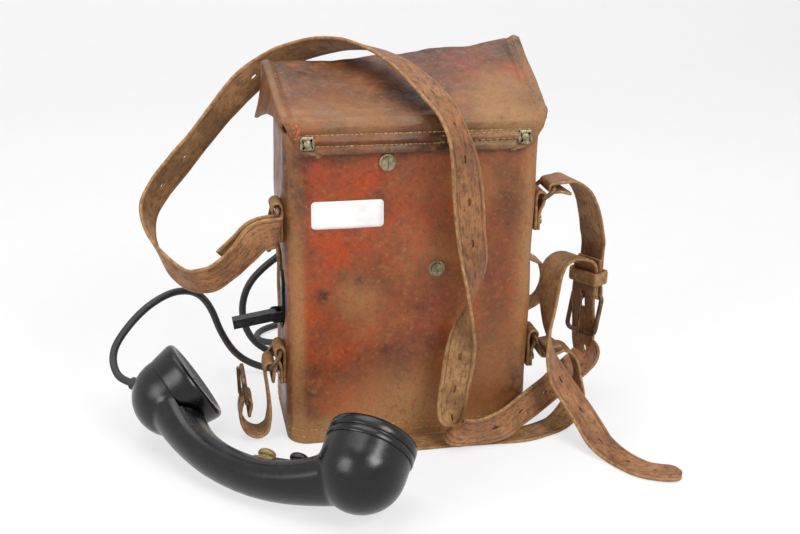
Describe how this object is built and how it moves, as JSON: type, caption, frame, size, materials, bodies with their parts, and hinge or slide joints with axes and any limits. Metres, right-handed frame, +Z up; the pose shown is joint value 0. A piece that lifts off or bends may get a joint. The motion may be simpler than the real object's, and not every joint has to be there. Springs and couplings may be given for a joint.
{
  "type": "field telephone",
  "caption": "Portable field telephone in a leather carrying case with flap lid, straps and buckles, side generator crank, inner chassis with ringer, and a corded bent handset.",
  "frame": {"origin": "middle of the case's bottom, on the floor", "axes": "+Z up, -Y the front of the case, -X the side with the generator crank"},
  "size_m": [0.4144, 0.3901, 0.2977],
  "materials": {
    "case_leather": "worn, russet, waxed",
    "lid_leather": "worn, brown, creased",
    "strap_leather": "worn, brown, creased",
    "worn_brass": "tarnished",
    "dark_steel": "dark, patinated",
    "black_steel": "black enamel, worn",
    "machined_steel": "machined",
    "magnet_steel": "dark, matt",
    "gear_brass": "machined",
    "gong_plate": "dull plated",
    "coil_fabric": "wound and taped",
    "zinc_paper": "waxed wrap",
    "capacitor_case": "grey, matt",
    "moulded_black": "black phenolic, worn gloss",
    "capsule_metal": "spun, satin",
    "black_rubber": "matt, flexible"
  },
  "bodies": {
    "case": {"case_wall": "case_leather", "case_bottom": "case_leather", "chassis_screws": "worn_brass", "case_snap_studs": "worn_brass", "lid_hinge_strip": "lid_leather", "side_tabs": "case_leather", "tab_rivets": "worn_brass", "upper_left_ring": "dark_steel", "upper_right_ring": "dark_steel", "lower_left_ring": "dark_steel", "lower_right_ring": "dark_steel", "carrying_strap": "strap_leather", "buckle_strap": "strap_leather", "strap_keeper": "strap_leather", "strap_buckle_frame": "dark_steel", "waist_strap": "strap_leather", "waist_buckle_strap": "strap_leather", "waist_buckle_frame": "dark_steel", "side_belt_loop": "lid_leather", "chassis_frame": "black_steel", "top_panel": "moulded_black", "binding_posts": "worn_brass", "shaft_bush": "machined_steel", "generator_magnets": "magnet_steel", "generator_housing": "magnet_steel", "generator_end_plates": "worn_brass", "induction_coil": "coil_fabric", "capacitor": "capacitor_case", "dry_cells": "zinc_paper", "cell_contacts": "worn_brass", "ringer_gongs": "gong_plate", "ringer_coils": "coil_fabric", "ringer_frame": "machined_steel", "cord_terminal_block": "moulded_black", "cord_grommet": "black_rubber", "handset_cord": "black_rubber"},
    "lid": {"lid_cover": "lid_leather", "lid_snap_sockets": "worn_brass"},
    "crank": {"crank_shaft": "machined_steel", "crank_gear": "gear_brass", "crank_arm": "black_steel", "handle_pin": "black_steel"},
    "handle": {"crank_handle": "black_steel"},
    "rotor": {"armature": "magnet_steel", "pinion": "gear_brass"},
    "clapper": {"ringer_clapper": "gong_plate"},
    "cap_one": {"post_cap_1": "moulded_black"},
    "cap_two": {"post_cap_2": "moulded_black"},
    "cap_three": {"post_cap_3": "moulded_black"},
    "strap_tongue": {"strap_buckle_prong": "dark_steel"},
    "waist_tongue": {"waist_buckle_prong": "dark_steel"},
    "handset": {"handset_body": "moulded_black", "receiver_cap": "moulded_black", "transmitter_cap": "moulded_black", "receiver_capsule": "capsule_metal", "transmitter_capsule": "capsule_metal", "lever_pin": "machined_steel", "contact_leaves": "machined_steel", "handset_gland": "black_rubber"},
    "switch": {"talk_lever": "moulded_black"}
  },
  "joints": [
    {"name": "lid_hinge", "type": "hinge", "parent": "case", "child": "lid", "pos_m": [0, 0.0522, 0.23815], "axis": [-1, 0, 0], "range_deg": [0, 100], "deforming": ["carrying_strap"]},
    {"name": "crank_spin", "type": "hinge", "parent": "case", "child": "crank", "pos_m": [-0.0925, 0, 0.117], "axis": [1, 0, 0], "continuous": true},
    {"name": "armature_spin", "type": "hinge", "parent": "case", "child": "rotor", "pos_m": [-0.039, 0, 0.08685], "axis": [1, 0, 0], "continuous": true},
    {"name": "crank_handle_fold", "type": "hinge", "parent": "crank", "child": "handle", "pos_m": [-0.0995, 0, 0.09], "axis": [0, 1, 0], "range_deg": [0, 99]},
    {"name": "clapper_swing", "type": "hinge", "parent": "case", "child": "clapper", "pos_m": [0.041, 0, 0.1735], "axis": [0, 1, 0], "range_deg": [-2, 2]},
    {"name": "post_press_1", "type": "slide", "parent": "case", "child": "cap_one", "axis": [0, 0, -1], "range_m": [0, 0.0025], "stiffness_N_per_m": 400},
    {"name": "post_press_2", "type": "slide", "parent": "case", "child": "cap_two", "axis": [0, 0, -1], "range_m": [0, 0.0025], "stiffness_N_per_m": 400},
    {"name": "post_press_3", "type": "slide", "parent": "case", "child": "cap_three", "axis": [0, 0, -1], "range_m": [0, 0.0025], "stiffness_N_per_m": 400},
    {"name": "strap_prong_lift", "type": "hinge", "parent": "case", "child": "strap_tongue", "pos_m": [0.166, 0.024, 0.084], "axis": [-0.5201, 0.8541, 0], "range_deg": [0, 25]},
    {"name": "waist_prong_lift", "type": "hinge", "parent": "case", "child": "waist_tongue", "pos_m": [-0.12558, -0.027, 0.034], "axis": [0, 1, 0], "range_deg": [-25, 0]},
    {"name": "handset_lift", "type": "slide", "parent": "case", "child": "handset", "axis": [0, -0.7071, 0.7071], "range_m": [0, 0.25], "deforming": ["handset_cord"]},
    {"name": "talk_lever_rock", "type": "hinge", "parent": "handset", "child": "switch", "pos_m": [-0.11163, -0.12369, 0.02204], "axis": [0.4382, 0.3918, -0.809], "range_deg": [-4, 4], "stiffness_Nm_per_rad": 0.4}
  ],
  "couplings": [
    {"joint": "armature_spin", "follows": "crank_spin", "ratio": -4}
  ]
}
